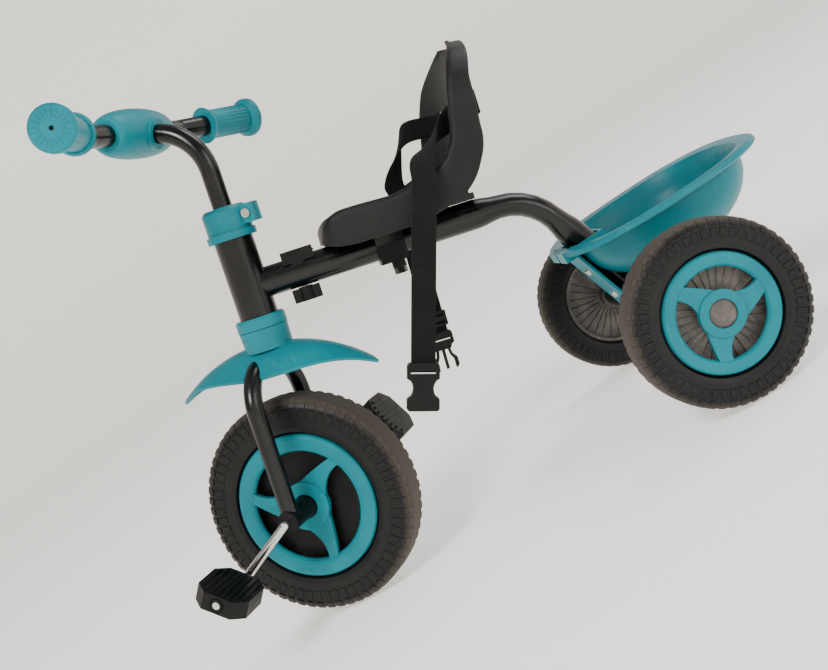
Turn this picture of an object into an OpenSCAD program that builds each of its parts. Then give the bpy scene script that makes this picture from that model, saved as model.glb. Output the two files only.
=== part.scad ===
// Child's pedal tricycle with a harness seat and a rear bucket.
// Millimetres, +Z up, front towards -X, left side towards -Y.
// The origin is on the floor under the middle of the tricycle.

/* [Overall] */
// Distance from the rear axle to the front axle
wheelbase = 454; // [430:1:500]
// Distance between the outer faces of the rear tyres
rear_track = 412; // [380:1:480]
// Diameter of the front tyre
front_wheel_d = 250; // [235:1:262]
// Diameter of each rear tyre
rear_wheel_d = 190; // [170:1:200]
// Steering angle at rest, negative turns to the rider's right
steer_rest = -25; // [-30:1:0]

/* [Head and fork] */
// Lean of the steering axis back from upright
head_angle = 15.3; // [12:0.1:20]
// Distance of the front axle ahead of the steering axis
fork_offset = 10; // [0:1:16]
// Outer diameter of the head tube
head_tube_d = 44; // [40:1:50]
// Outer diameter of the steerer tube
steerer_d = 28; // [26:0.5:32]
// Outer diameter of the tubes of the fork legs
fork_tube_d = 20; // [18:0.5:24]
// Distance between the centre lines of the fork legs
fork_width = 120; // [112:1:140]
// Diameter of the bushing at each fork end
fork_end_d = 24; // [22:1:30]

/* [Handlebar] */
// Outer diameter of the stem tube
stem_d = 22; // [19:0.5:25]
// Outer diameter of the crossbar
bar_d = 25; // [22:0.5:28]
// Straight middle length of the crossbar
bar_middle = 189; // [170:1:220]
// Angle by which the bar's ends sweep back
bar_sweep = 21; // [0:1:30]
// Length of each grip
grip_length = 78; // [70:1:100]
// Diameter of the round end of each grip
grip_end_d = 47; // [42:1:54]
// Length of the moulded cover on the middle of the bar
cover_length = 114; // [100:1:130]

/* [Frame] */
// Outer diameter of the main tube
main_tube_d = 34; // [30:0.5:40]
// Downward slope of the main tube towards the rear
main_tube_angle = 15.4; // [12:0.1:18]
// Length of the main tube from the steering axis to the corner of its bend
main_tube_run = 330; // [310:1:350]
// Bending radius of the main tube on its centre line
main_bend_r = 70; // [60:1:85]
// Wall of the steel tubes
tube_wall = 2; // [1.5:0.1:2.5]
// Outer diameter of the tube round the rear axle
axle_tube_d = 24; // [20:1:28]
// Diameter of the steel rod used for both axles
axle_d = 10; // [8:0.5:12]

/* [Wheels and drive] */
// Width of the front tyre
front_tyre_w = 46; // [38:1:52]
// Width of each rear tyre
rear_tyre_w = 38; // [32:1:44]
// Diameter of the trim in the front wheel
front_trim_d = 168; // [150:1:180]
// Diameter of the trim in each rear wheel
rear_trim_d = 122; // [110:1:130]
// Length of each crank arm
crank_length = 81; // [70:1:88]
// Angle of the left crank arm below forward at rest
crank_rest = 36; // [0:1:60]
// Length of each pedal across its tread
pedal_length = 60; // [50:1:72]
// Width of each pedal along its spindle
pedal_width = 62; // [52:1:75]
// Thickness of each pedal
pedal_height = 20; // [18:1:28]

/* [Seat] */
// Full width of the moulded seat
seat_width = 262; // [240:1:280]
// Length of the seat along the main tube
seat_length = 192; // [180:1:205]
// Height of the seat back above the axis of the main tube
seat_back_h = 186; // [170:1:210]
// Wall of the moulded seat
seat_wall = 4; // [3:0.5:5]
// Place of the seat's nose along the main tube
seat_place = 91; // [86:1:100]
// Width of the harness webbing
web_w = 25; // [20:1:30]
// Thickness of the harness webbing
web_t = 1.8; // [1.2:0.1:2.5]

/* [Bucket] */
// Length of the bucket over its rim
bucket_length = 252; // [235:1:270]
// Width of the bucket over its rim
bucket_width = 262; // [240:1:280]
// Height of the rim above the floor
bucket_rim_z = 207; // [200:1:220]
// Depth of the bucket inside
bucket_depth = 80; // [65:1:86]
// Wall of the bucket
bucket_wall = 3; // [2.5:0.5:4]

/* [Fits] */
// Radial clearance of a turning fit
turn_fit = 0.08; // [0.05:0.01:0.1]
// Space between pieces that move past each other
part_gap = 0.6; // [0.4:0.1:1]

/* [Hidden] */
$fn = 64;

// Colours
teal = [0.02, 0.55, 0.58];
black = [0.06, 0.06, 0.06];
seat_grey = [0.16, 0.16, 0.16];
tyre_grey = [0.12, 0.115, 0.11];
disc_grey = [0.3, 0.29, 0.28];
steel = [0.75, 0.75, 0.76];

// Wheels
front_r = front_wheel_d / 2;
rear_r = rear_wheel_d / 2;
axle_r = axle_d / 2;
rear_inner_y = rear_track / 2 - rear_tyre_w;
spacer_length = 6;
axle_tube_half = rear_inner_y - spacer_length - part_gap;

// Steering axis: its foot is the point nearest to the front axle
steer_foot = [-wheelbase + fork_offset * cos(head_angle), 0, front_r - fork_offset * sin(head_angle)];
fork_half = fork_width / 2;
crown_low = front_r + 36;
crown_top = front_r + 62;
guard_top = crown_top + 18;
head_low = guard_top + 7;
head_top = head_low + 101;
collar_top = head_top + 31;
stem_bend_start = head_top + 72;
stem_bend_r = 60;
stem_bend = 72;
stem_reach = 35;
bar_u = stem_bend_start + stem_bend_r * sin(stem_bend) + stem_reach * cos(stem_bend);
bar_forward = stem_bend_r * (1 - cos(stem_bend)) + stem_reach * sin(stem_bend);
grip_start = 43;
bar_end = grip_start + grip_length - 4;

// Main tube: it starts on the steering axis, and its lower leg ends on the rear axle
main_joint_u = head_low + 40;
main_start = steer_foot + main_joint_u * [sin(head_angle), 0, cos(head_angle)];
main_corner = main_start + main_tube_run * [cos(main_tube_angle), 0, -sin(main_tube_angle)];
leg_angle = atan2(main_corner[2] - rear_r, -main_corner[0]);
leg_run = norm([main_corner[0], main_corner[2] - rear_r]);
bend_angle = leg_angle - main_tube_angle;
bend_tangent = main_bend_r * tan(bend_angle / 2);
main_tube_r = main_tube_d / 2;

// Seat, in the frame of the main tube: x along it to the rear, z square to it
seat_half = seat_width / 2;
pan_level = main_tube_r + 18;
back_place = seat_place + seat_length;
clamp_place = seat_place + 72;
post_place = seat_place + 163;
bolt_place = seat_place - 32;
slot_height = pan_level + 62;
slot_half_spacing = 84;
strap_out_y = seat_half + 5;
strap_top = [seat_place + 113, pan_level + 15];
// Lean of the hanging webbing forward from upright, as on a tricycle hung up by its seat back
strap_lean = [33.5, 17];
strap_length = 191;

// Middle of the whole length, which becomes x = 0
overall_shift = wheelbase / 2 - 18;

function reversed(v) = [for (i = [len(v) - 1 : -1 : 0]) v[i]];
function seg(a, b, n) = [for (i = [0 : n]) a + (b - a) * i / n];

// Places its children, modelled from the rear axle's floor point, in the part's frame
module part_frame() { translate([overall_shift, 0, 0]) children(); }
// Frame of the steering axis: z up the axis, -x forward
module head_frame() { part_frame() translate(steer_foot) rotate([0, head_angle, 0]) children(); }
module steer_frame() { head_frame() rotate([0, 0, steer_rest]) children(); }
// Frame of the front axle
module front_axle() { steer_frame() translate([-fork_offset, 0, 0]) children(); }
// Frame of the main tube at a distance from its start
module tube_frame(s) {
    part_frame() translate(main_start) rotate([0, main_tube_angle, 0]) translate([s, 0, 0]) children();
}
module rear_axle_frame() { part_frame() translate([0, 0, rear_r]) children(); }
// A cylinder along y from a to b
module y_rod(r, a, b) { translate([0, b, 0]) rotate([90, 0, 0]) cylinder(r = r, h = b - a); }
// A cylinder along x from a to b
module x_rod(r, a, b) { translate([a, 0, 0]) rotate([0, 90, 0]) cylinder(r = r, h = b - a); }

// Closed skin over a stack of rings of equal length, with flat ends
module ring_skin(rings) {
    n = len(rings[0]);
    last = len(rings) - 1;
    polyhedron(points = [for (r = rings) for (p = r) p],
        faces = concat(
            [[for (i = [0 : n - 1]) i]],
            [for (k = [0 : last - 1]) for (i = [0 : n - 1])
                [k * n + i, (k + 1) * n + i, (k + 1) * n + (i + 1) % n, k * n + (i + 1) % n]],
            [[for (i = [n - 1 : -1 : 0]) last * n + i]]));
}
// Closed skin with no ends: the last ring joins the first
module loop_skin(rings) {
    n = len(rings[0]);
    m = len(rings);
    polyhedron(points = [for (r = rings) for (p = r) p],
        faces = [for (k = [0 : m - 1]) for (i = [0 : n - 1]) let (q = (k + 1) % m)
            [k * n + i, q * n + i, q * n + (i + 1) % n, k * n + (i + 1) % n]]);
}
// A bent solid rod up z, turning towards -x; a core under each joint ties the pieces together
module bent_rod(r, bend_r, bend, before, after) {
    core = 4;
    translate([0, 0, -before]) cylinder(r = r, h = before);
    translate([-bend_r, 0, 0]) rotate([90, 0, 0]) rotate_extrude(angle = bend) translate([bend_r, 0]) circle(r = r);
    translate([-bend_r, 0, 0]) rotate([0, -bend, 0]) translate([bend_r, 0, 0]) {
        cylinder(r = r, h = after);
        translate([0, 0, -core]) cylinder(r = r - 1, h = 2 * core);
    }
}

// ---------- Frame ----------

tube_straight = main_tube_run - bend_tangent;
tube_flat = 3.5;
taper_length = 26;
tube_path = concat(
    [[0, 0, 0, 0], [tube_straight - taper_length, 0, 0, 0]],
    [for (t = seg(0.3, 0.7, 1)) [tube_straight - taper_length * (1 - t), 0, 0, tube_flat * (3 - 2 * t) * t * t]],
    [for (a = seg(0, bend_angle, 5))
        [tube_straight + main_bend_r * sin(a), -main_bend_r * (1 - cos(a)), a, tube_flat]],
    [for (t = seg(0.35, 1, 2)) let (d = bend_tangent + taper_length * t)
        [main_tube_run + d * cos(bend_angle), -d * sin(bend_angle), bend_angle,
            tube_flat * (1 - (3 - 2 * t) * t * t)]],
    [[main_tube_run + leg_run * cos(bend_angle), -leg_run * sin(bend_angle), bend_angle, 0]]);
// One ring of the tube at a place [x, z, turn, flattening] of its centre line
function tube_ring(p, cut) = [for (a = [0 : 9 : 359]) let (n = (main_tube_r - p[3] - cut) * cos(a))
    [p[0] + n * sin(p[2]), -(main_tube_r - cut) * sin(a), p[1] + n * cos(p[2])]];
module main_tube() {
    color(black) difference() {
        tube_frame(0) loop_skin(concat([for (p = tube_path) tube_ring(p, 0)],
            [for (p = reversed(tube_path)) tube_ring(p, tube_wall)]));
        head_frame() cylinder(r = head_tube_d / 2, h = collar_top);
        rear_axle_frame() y_rod(axle_tube_d / 2, -axle_tube_half, axle_tube_half);
        tube_frame(bolt_place) cylinder(r = 3, h = main_tube_d * 2, center = true);
    }
}

module head_tube() {
    color(black) head_frame() translate([0, 0, head_low]) difference() {
        cylinder(d = head_tube_d, h = head_top - head_low);
        translate([0, 0, -1]) cylinder(r = head_tube_d / 2 - tube_wall, h = head_top - head_low + 2);
    }
}

// Flanged nylon bearing, pressed into the head tube
module bearing(flange) {
    difference() {
        union() {
            cylinder(r = head_tube_d / 2 - tube_wall, h = 14);
            translate([0, 0, -flange]) cylinder(r = head_tube_d / 2 - 1, h = flange);
        }
        translate([0, 0, -flange - 1]) cylinder(r = steerer_d / 2 + turn_fit, h = 16 + flange);
    }
}
module upper_bearing() { color(disc_grey) head_frame() translate([0, 0, head_top]) mirror([0, 0, 1]) bearing(2); }
module lower_bearing() { color(disc_grey) head_frame() translate([0, 0, head_low]) bearing(2); }

module lower_collar() {
    color(teal) head_frame() difference() {
        union() {
            translate([0, 0, guard_top + part_gap]) cylinder(r = head_tube_d / 2 + 6.5, h = 10);
            translate([0, 0, guard_top + part_gap + 10])
                cylinder(r1 = head_tube_d / 2 + 6.5, r2 = head_tube_d / 2 + 4.5, h = 3);
        }
        translate([0, 0, head_low]) cylinder(d = head_tube_d, h = 20);
        translate([0, 0, head_low - 2]) cylinder(r = head_tube_d / 2 - 1, h = 4);
        translate([0, 0, guard_top - 1]) cylinder(r = steerer_d / 2 + 1, h = 20);
    }
}

module axle_tube() {
    color(black) rear_axle_frame() difference() {
        y_rod(axle_tube_d / 2, -axle_tube_half, axle_tube_half);
        y_rod(axle_r, -axle_tube_half - 1, axle_tube_half + 1);
    }
}

module rear_axle() {
    reach = rear_track / 2 - 4;
    color(steel) rear_axle_frame() y_rod(axle_r, -reach, reach);
}

module axle_spacers() {
    color(black) rear_axle_frame() for (side = [-1, 1]) translate([0, side * (axle_tube_half + spacer_length / 2), 0])
        difference() {
            y_rod(axle_r + 6, -spacer_length / 2, spacer_length / 2);
            y_rod(axle_r, -spacer_length, spacer_length);
        }
}

// ---------- Bucket ----------

bucket_x = bucket_length / 2 - 69;
bucket_power = 2.5;
bucket_steps = 48;
bucket_flange = 22;
flange_drop = 12;
bucket_half = [bucket_length / 2, bucket_width / 2];
bowl_half = [bucket_half[0] - bucket_flange, bucket_half[1] - bucket_flange];
channel_half = main_tube_r + 2;
apron_half = 33;
screw_r = 2.5;

// One level of the bucket: a rounded square of the given half sizes
function bucket_ring(half, z) = [for (i = [0 : bucket_steps - 1])
    let (a = 360 * i / bucket_steps, c = cos(a), s = sin(a),
        k = pow(pow(abs(c), bucket_power) + pow(abs(s), bucket_power), -1 / bucket_power))
    [bucket_x + half[0] * k * c, half[1] * k * s, z]];
// Levels of the bowl from its middle up to its flange, drawn in by a wall
function bowl_rings(wall) = [for (a = [88 : -8 : 0])
    bucket_ring([(bowl_half[0] - wall) * cos(a), (bowl_half[1] - wall) * cos(a)],
        bucket_rim_z - flange_drop - (bucket_depth - flange_drop - wall) * sin(a))];
flange_rings = [
    bucket_ring(bowl_half, bucket_rim_z - 8),
    bucket_ring([bucket_half[0] - 3, bucket_half[1] - 3], bucket_rim_z - 8),
    bucket_ring(bucket_half, bucket_rim_z - 6),
    bucket_ring([bucket_half[0] - 1, bucket_half[1] - 1], bucket_rim_z - 2),
    bucket_ring([bucket_half[0] - 5, bucket_half[1] - 5], bucket_rim_z),
    bucket_ring([bowl_half[0] + 2, bowl_half[1] + 2], bucket_rim_z - 2)
];

// Frame of the main tube's lower leg: x down it, z to the rear
module leg_frame(s) {
    tube_frame(main_tube_run) rotate([0, bend_angle, 0]) translate([s, 0, 0]) children();
}
// Everything in front of the bowl's inner channel wall, drawn in by a gap
module channel_space(gap) {
    leg_frame(-60) translate([0, -channel_half - gap, -120])
        cube([leg_run + 120, 2 * (channel_half + gap), 120 + channel_half + gap]);
}
module bucket() {
    color(teal) difference() {
        union() {
            difference() {
                part_frame() ring_skin(concat(bowl_rings(0), flange_rings, reversed(bowl_rings(bucket_wall))));
                channel_space(0);
            }
            // walls of the channel that the tube runs down
            intersection() {
                part_frame() ring_skin(concat(bowl_rings(0), [bucket_ring(bowl_half, bucket_rim_z - 3)]));
                difference() {
                    channel_space(bucket_wall);
                    channel_space(0);
                }
            }
            // keel that stands on the axle tube
            part_frame() translate([8, -38, rear_r]) cube([72, 76, bucket_rim_z - bucket_depth - rear_r + 6]);
            // lip and apron in front of the tube
            leg_frame(0) translate([main_bend_r + 8, -apron_half, -channel_half - bucket_wall])
                cube([leg_run - main_bend_r - 14, 2 * apron_half, bucket_wall]);
            for (side = [-1, 1]) part_frame() translate([-69, side > 0 ? 3 : -apron_half, bucket_rim_z - 13])
                cube([17, apron_half - 3, 12]);
        }
        leg_frame(0) translate([0, -channel_half, -channel_half])
            cube([leg_run, 2 * channel_half, 2 * channel_half]);
        rear_axle_frame() y_rod(axle_tube_d / 2, -rear_inner_y, rear_inner_y);
        for (s = screw_places) leg_frame(s) translate([0, 0, -channel_half]) cylinder(r = screw_r, h = 20, center = true);
    }
}

screw_places = [leg_run - 84, leg_run - 44];
module bucket_screws() {
    color(steel) for (s = screw_places) leg_frame(s) translate([0, 0, -channel_half - bucket_wall]) {
        translate([0, 0, -3]) cylinder(r1 = 4, r2 = 5, h = 3);
        cylinder(r = screw_r, h = bucket_wall + 6);
    }
}

// ---------- Front fixing of the seat ----------

knob_r = 16;
module seat_clip() {
    color(black) tube_frame(bolt_place) difference() {
        union() {
            translate([-16, -15, main_tube_r - 6]) cube([36, 30, 14]);
            translate([18, -15, main_tube_r + 8]) rotate([0, -32, 0]) translate([-36, 0, -7]) cube([36, 30, 7]);
        }
        translate([-20, 0, 0]) x_rod(main_tube_r, 0, 80);
        // slot for the tongue under the seat's nose
        translate([-10, -11, main_tube_r + 1]) cube([60, 22, 4]);
        cylinder(r = 3, h = main_tube_r + 2);
    }
}
module anchor_bolt() {
    color(steel) tube_frame(bolt_place) {
        translate([0, 0, -main_tube_r - 16]) cylinder(r = 3, h = 2 * main_tube_r + 16.4);
    }
}
module anchor_knob() {
    color(black) tube_frame(bolt_place) translate([0, 0, -main_tube_r - part_gap]) mirror([0, 0, 1]) difference() {
        union() {
            cylinder(r = 8, h = 16);
            for (a = [0, 180]) rotate([0, 0, a]) translate([6, -4, 1]) cube([knob_r - 6, 8, 15]);
        }
        translate([0, 0, -1]) cylinder(r = 3 + turn_fit, h = 20);
    }
}

// ---------- Seat ----------

// Level between the keys of a list of [place, value], with smooth ends to each step
function key(t, keys, i = 0) = i >= len(keys) - 2 || t < keys[i + 1][0] ?
    let (a = keys[i], b = keys[i + 1], u = min(1, max(0, (t - a[0]) / (b[0] - a[0]))))
    a[1] + (b[1] - a[1]) * u : key(t, keys, i + 1);
// Curves of the seat from nose to top, over t = 0 to 1, in the tube's frame
seat_turn_r = 58;
seat_tilt = 84;
seat_pan = back_place - 2 - seat_turn_r;
function seat_line(t) =
    t < 0.45 ? [seat_place + (seat_pan - seat_place) * t / 0.45, pan_level, 0]
    : t < 0.68 ? let (a = seat_tilt * (t - 0.45) / 0.23)
        [seat_pan + seat_turn_r * sin(a), pan_level + seat_turn_r * (1 - cos(a)), a]
    : let (u = (t - 0.68) / 0.32, base = seat_turn_r * (1 - cos(seat_tilt)), rise = seat_back_h - pan_level - base)
        [seat_pan + seat_turn_r * sin(seat_tilt) + rise * u / tan(seat_tilt), pan_level + base + rise * u, seat_tilt];
// Half width, rise of each side's edge, and level of the bottom of its skirt
function seat_half_at(t) = seat_half * key(t, [[0, 0.62], [0.01, 0.71], [0.03, 0.78], [0.08, 0.82], [0.2, 0.88],
    [0.4, 0.96], [0.6, 1], [0.78, 1], [0.86, 0.95], [0.91, 0.86], [0.95, 0.72], [0.975, 0.56], [0.99, 0.42], [1, 0.3]]);
function seat_rise_at(t) = key(t, [[0, -2], [0.015, 5], [0.04, 11], [0.08, 15], [0.14, 15], [0.28, 13],
    [0.36, 17], [0.45, 26], [0.55, 34], [0.66, 36], [0.8, 31], [0.9, 24], [1, 8]]);
function seat_skirt_at(t) = key(t, [[0, -17], [0.04, -21], [0.1, -24], [0.35, -24], [0.48, -14], [0.58, -2],
    [0.68, 3], [0.85, 4], [1, -8]]);
function seat_solid_at(t) = key(t, [[0, 0.94], [0.012, 0.94], [0.03, 0], [0.985, 0], [1, 0.2]]);
function dish(v) = pow(abs(v), 3);
seat_steps = 10;
// Half of one section's outline: across the front face, round the side's edge, and back underneath
function seat_side(w, rise, skirt, solid) = let (e = 7, in = w - e, wall = seat_wall)
    concat([for (i = [0 : seat_steps]) let (v = i / seat_steps) [in * v, rise * dish(v)]],
        [for (a = [30, 60, 90]) [in + e * sin(a), rise - e * (1 - cos(a))]],
        [[w, skirt + 2], [w - 2, skirt], [w - wall, skirt]],
        [for (i = [seat_steps : -1 : 0]) let (v = i / seat_steps, low = (rise - e) * dish(v) - wall)
            [(w - wall) * v, low + (min(low, skirt) - low) * solid]]);
function seat_section(t) =
    let (p = seat_line(t), half = seat_side(seat_half_at(t), seat_rise_at(t), seat_skirt_at(t), seat_solid_at(t)),
        n = len(half), full = concat(half, [for (i = [n - 2 : -1 : 1]) [-half[i][0], half[i][1]]]))
    [for (q = full) [p[0] - q[1] * sin(p[2]), q[0], p[1] + q[1] * cos(p[2])]];
seat_levels = concat([0, 0.006, 0.014, 0.025, 0.04, 0.06, 0.08, 0.11, 0.15], seg(0.2, 0.44, 6), seg(0.46, 0.68, 8),
    seg(0.71, 0.89, 6), [0.91, 0.93, 0.95, 0.965, 0.98, 0.99, 1]);

module seat_shell() {
    color(seat_grey) tube_frame(0) {
        difference() {
            ring_skin([for (t = reversed(seat_levels)) seat_section(t)]);
            // harness slots
            for (side = [-1, 1]) translate([back_place - 80, side * slot_half_spacing - 3, slot_height])
                cube([120, 6, 32]);
            // hand hole
            translate([back_place - 60, -26, seat_back_h - 34]) cube([120, 52, 16]);
        }
        // tongue under the nose
        translate([seat_place - 31, -10, main_tube_r + 1.4]) cube([57, 20, 3.2]);
        translate([seat_place + 14, -10, main_tube_r + 1.4]) cube([12, 20, pan_level - main_tube_r - 4]);
    }
}

module seat_bracket() {
    color(black) tube_frame(0) difference() {
        union() {
            translate([clamp_place - 16, -20, 0]) cube([32, 40, main_tube_r + 8]);
            translate([clamp_place - 16, -20, main_tube_r + 4]) cube([post_place - clamp_place + 30, 40, 4]);
            translate([post_place - 8, -20, main_tube_r + 0.5]) cube([22, 40, 7.5]);
            translate([post_place - 14, -14, main_tube_r + 0.5]) cube([24, 28, 30]);
            translate([clamp_place - 10, -16, main_tube_r + 7]) cube([70, 32, pan_level - seat_wall - main_tube_r - 7]);
        }
        translate([clamp_place - 60, 0, 0]) x_rod(main_tube_r + turn_fit, 0, 260);
        translate([clamp_place - 40, -30, -1]) cube([80, 60, 1 + part_gap]);
        // clear of the seat's turn
        translate([seat_pan, 0, pan_level + seat_turn_r]) y_rod(seat_turn_r + seat_wall + 0.2, -50, 50);
        for (s = seat_screw_places) translate([s[0], s[1], 0]) cylinder(r = 2.5, h = 80);
    }
}
seat_screw_places = [for (x = [clamp_place, clamp_place + 50]) for (y = [-11, 11]) [x, y]];
module seat_screws() {
    color(steel) tube_frame(0) for (s = seat_screw_places) translate([s[0], s[1], 0]) {
        translate([0, 0, main_tube_r + 9]) cylinder(r = 2.5, h = pan_level - main_tube_r - 9);
        translate([0, 0, pan_level]) cylinder(r1 = 5, r2 = 3.5, h = 2);
    }
}
module seat_clamp() {
    color(black) tube_frame(clamp_place) difference() {
        union() {
            translate([-16, -20, -main_tube_r - 5]) cube([32, 40, main_tube_r + 5 - part_gap]);
            translate([4, 0, -main_tube_r - 13]) cylinder(r = 8, h = 12);
        }
        x_rod(main_tube_r + turn_fit, -20, 20);
        translate([4, 0, -main_tube_r - 20]) cylinder(r = 3, h = 30);
    }
}
module clamp_bolt() {
    color(steel) tube_frame(clamp_place) translate([4, 0, -main_tube_r - 13]) {
        translate([0, 0, -7]) cylinder(r = 7.5, h = 7, $fn = 6);
        cylinder(r = 3, h = 12.5);
    }
}

// ---------- Harness ----------

// Webbing behind the back, through its slots, and over each side of the seat to where it hangs free
module harness_back() {
    behind = back_place + 6;
    color(black) tube_frame(0) {
        translate([behind, -slot_half_spacing - web_t / 2, slot_height + 4])
            cube([web_t, 2 * slot_half_spacing + web_t, web_w]);
        for (side = [-1, 1]) {
            translate([back_place - 16, side * slot_half_spacing - web_t / 2, slot_height + 4])
                cube([behind - back_place + 17, web_t, web_w]);
            hull() {
                translate([back_place - 17, side * slot_half_spacing - web_t / 2, slot_height + 4])
                    cube([2, web_t, web_w]);
                translate([strap_top[0] - web_w / 2, side * (strap_out_y + web_t) - web_t / 2, strap_top[1] - 3])
                    cube([web_w, web_t, 14]);
            }
        }
    }
}
// Frame at the top of a hanging strap: z points up along the webbing
module strap_frame(side) {
    part_frame() translate([main_start[0], 0, main_start[2]]) rotate([0, main_tube_angle, 0])
        translate([strap_top[0], side * (strap_out_y + 2 * web_t + part_gap), strap_top[1]])
        rotate([0, (side < 0 ? strap_lean[0] : strap_lean[1]) - main_tube_angle, 0])
        children();
}
module strap(side) {
    color(black) strap_frame(side) {
        translate([-web_w / 2, -web_t / 2, -strap_length]) cube([web_w, web_t, strap_length]);
        y_rod(web_w / 2, -web_t / 2, web_t / 2);
    }
}
buckle_w = 33;
buckle_t = 9;
module strap_left() { strap(-1); }
module strap_right() { strap(1); }
// Outline of a buckle half: shoulders at the webbing, a waist, and a wide end
module buckle_outline(half, waist, length) {
    polygon(concat([[-half + 2, 10], [half - 2, 10], [half, 7], [half, -6]],
        [for (a = seg(100, 260, 6)) [half + (half - waist) * cos(a) * 0.9, -16 + 9.5 * sin(a)]],
        [[half, -27], [half, -length + 2], [half - 2, -length], [-half + 2, -length], [-half, -length + 2], [-half, -27]],
        [for (a = seg(-80, 80, 6)) [-half + (half - waist) * cos(a) * 0.9, -16 + 9.5 * sin(a)]],
        [[-half, -6], [-half, 7]]));
}
// Slot for the webbing across a buckle, with a bar left in its middle
module web_slot(t) { translate([-web_w / 2 - 0.5, -t, -1.6]) cube([web_w + 1, 2 * t, 3.2]); }
module buckle_socket() {
    color(black) strap_frame(-1) translate([0, 0, -strap_length]) difference() {
        rotate([90, 0, 0]) linear_extrude(buckle_t, center = true) buckle_outline(buckle_w / 2, 9.5, 39);
        web_slot(buckle_t);
        // mouth for the prongs
        translate([-buckle_w / 2 + 3, -2.4, -40]) cube([buckle_w - 6, 4.8, 14]);
        // webbing lies in the head
        translate([-web_w / 2, -web_t / 2, -0.1]) cube([web_w, web_t, 20]);
    }
}
module buckle_plug() {
    color(black) strap_frame(1) translate([0, 0, -strap_length]) {
        difference() {
            rotate([90, 0, 0]) linear_extrude(buckle_t - 1, center = true) intersection() {
                buckle_outline(buckle_w / 2, 9.5, 39);
                translate([-buckle_w, -13]) square([2 * buckle_w, 40]);
            }
            web_slot(buckle_t);
            translate([-web_w / 2, -web_t / 2, -0.1]) cube([web_w, web_t, 20]);
        }
        // two springy prongs and a guide
        rotate([90, 0, 0]) linear_extrude(4, center = true) for (side = [-1, 1]) mirror([side < 0 ? 1 : 0, 0])
            polygon([[5.5, -12], [9, -12], [10.5, -20], [buckle_w / 2 - 1.2, -26], [buckle_w / 2 - 1.2, -36], [buckle_w / 2 - 4, -39],
                [buckle_w / 2 - 6, -39], [buckle_w / 2 - 6, -28], [7, -21]]);
        translate([-2, -1.6, -38]) cube([4, 3.2, 27]);
    }
}
module strap_adjuster() {
    color(black) strap_frame(1) translate([0, 0, -strap_length + 26]) difference() {
        translate([-buckle_w / 2 + 1, -3.2, -9]) cube([buckle_w - 2, 6.4, 19]);
        translate([-web_w / 2, -web_t / 2, -30]) cube([web_w, web_t, 60]);
        for (z = [-4.5, 5]) translate([-web_w / 2, -5, z - 1.4]) cube([web_w, 10, 2.8]);
    }
}

// ---------- Steering ----------

module steerer() {
    color(black) steer_frame() difference() {
        translate([0, 0, crown_low + 1]) cylinder(d = steerer_d, h = head_top + 14 - crown_low);
        translate([0, 0, crown_low]) cylinder(d = stem_d, h = head_top + 20 - crown_low);
    }
}
module stem() {
    color(black) steer_frame() difference() {
        translate([0, 0, stem_bend_start])
            bent_rod(stem_d / 2, stem_bend_r, stem_bend, stem_bend_start - head_low - 20, stem_reach);
        translate([-bar_forward, 0, bar_u]) y_rod(bar_d / 2, -40, 40);
    }
}
module top_collar() {
    lip = 8;
    color(teal) steer_frame() difference() {
        union() {
            translate([0, 0, head_top - 5]) cylinder(r = head_tube_d / 2 + 6, h = lip);
            translate([0, 0, head_top - 5 + lip]) cylinder(r = head_tube_d / 2 + 3.5, h = collar_top - head_top - lip + 1);
            translate([0, 0, collar_top - 4]) cylinder(r1 = head_tube_d / 2 + 3.5, r2 = head_tube_d / 2, h = 4);
            translate([10, -9, head_top + 7]) cube([28, 18, collar_top - head_top - 10]);
        }
        translate([0, 0, head_top - 6]) cylinder(r = head_tube_d / 2 + part_gap, h = 8.6);
        translate([0, 0, head_top]) cylinder(d = steerer_d, h = 14 + 1);
        translate([0, 0, head_top]) cylinder(d = stem_d, h = 60);
        translate([4, -1, head_top - 10]) cube([50, 2, 60]);
        translate([30, 0, (head_top + collar_top) / 2 + 2]) y_rod(3, -20, 20);
    }
}
module collar_bolt() {
    color(steel) steer_frame() translate([30, 0, (head_top + collar_top) / 2 + 2]) {
        y_rod(3, -11, 11);
        translate([0, 9, 0]) rotate([-90, 0, 0]) cylinder(r = 5, h = 4, $fn = 6);
        y_rod(5, -12, -9);
    }
}
// Frame of the middle of the crossbar
module bar_frame() { steer_frame() translate([-bar_forward, 0, bar_u]) children(); }
// Frame of one swept end: y outwards along it
module bar_end_frame(side) {
    bar_frame() translate([0, side * bar_middle / 2, 0]) rotate([0, 0, -side * bar_sweep]) children();
}
bar_bend_r = 30;
module crossbar() {
    tangent = bar_bend_r * tan(bar_sweep / 2);
    half = bar_middle / 2 - tangent;
    color(black) bar_frame() for (side = [-1, 1]) mirror([0, side < 0 ? 1 : 0, 0]) translate([0, half, 0])
        rotate([-90, 0, 0]) rotate([0, 0, 180]) bent_rod(bar_d / 2, bar_bend_r, bar_sweep, half, bar_end - tangent);
}
module bar_cover() {
    color(teal) bar_frame() difference() {
        union() {
            for (side = [-1, 1]) rotate([-90 * side, 0, 0])
                rotate_extrude() polygon(concat([[0, 0]], [for (k = [0 : 8]) let (t = k / 8)
                    [17 + 11 * cos(90 * t), cover_length / 2 * sin(90 * t)]], [[0, cover_length / 2]]));
            rotate([0, 90 - stem_bend, 0]) x_rod(17, 0, 30);
        }
        y_rod(bar_d / 2, -cover_length, cover_length);
        rotate([0, 90 - stem_bend, 0]) x_rod(stem_d / 2, 0, 60);
        translate([0, 0, 0]) y_rod(bar_d / 2 + 0.3, -1, 1);
    }
}
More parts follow.
